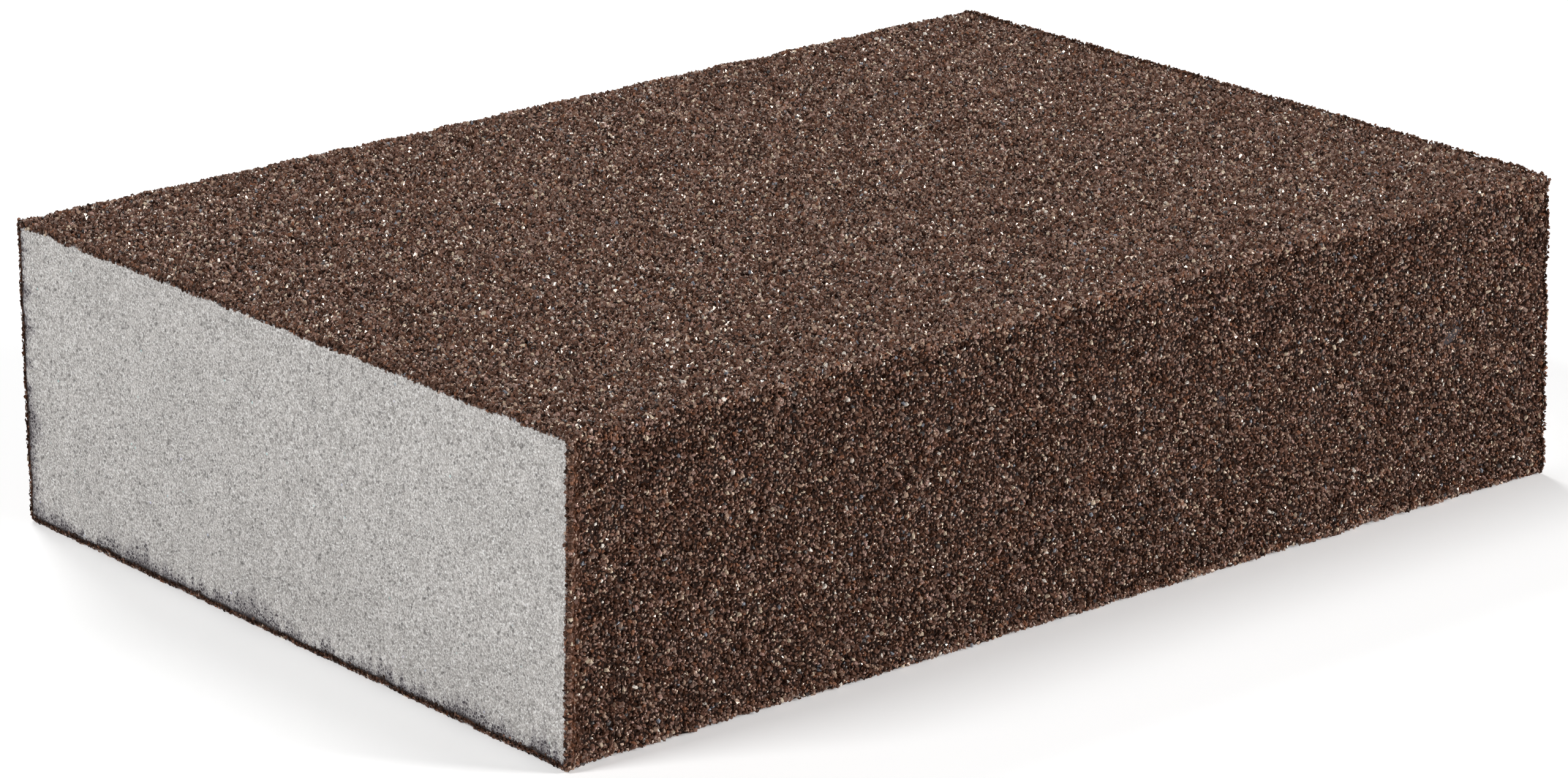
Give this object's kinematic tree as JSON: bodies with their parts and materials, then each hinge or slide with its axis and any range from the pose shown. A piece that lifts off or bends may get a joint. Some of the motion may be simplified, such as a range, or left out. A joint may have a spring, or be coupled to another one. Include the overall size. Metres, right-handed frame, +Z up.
{
  "type": "sanding block",
  "caption": "Rectangular foam hand sanding block with brown abrasive grit on its large faces and long edges and bare grey foam ends.",
  "frame": {"origin": "centre of the bottom coated face, on the surface the block rests on", "axes": "+X along the block's length, towards one bare foam end; +Y across its width, from the front long edge to the back one; +Z up through its thickness"},
  "size_m": [0.1, 0.07, 0.025],
  "materials": {
    "foam": "matte",
    "make_resin": "matte",
    "abrasive_grit": "satin",
    "size_resin": "satin"
  },
  "bodies": {
    "root": {"foam_core": "foam", "make_coat_top": "make_resin", "grit_top": "abrasive_grit", "size_coat_top": "size_resin", "make_coat_back": "make_resin", "grit_back": "abrasive_grit", "size_coat_back": "size_resin", "make_coat_bottom": "make_resin", "grit_bottom": "abrasive_grit", "size_coat_bottom": "size_resin", "make_coat_front": "make_resin", "grit_front": "abrasive_grit", "size_coat_front": "size_resin"}
  },
  "joints": []
}
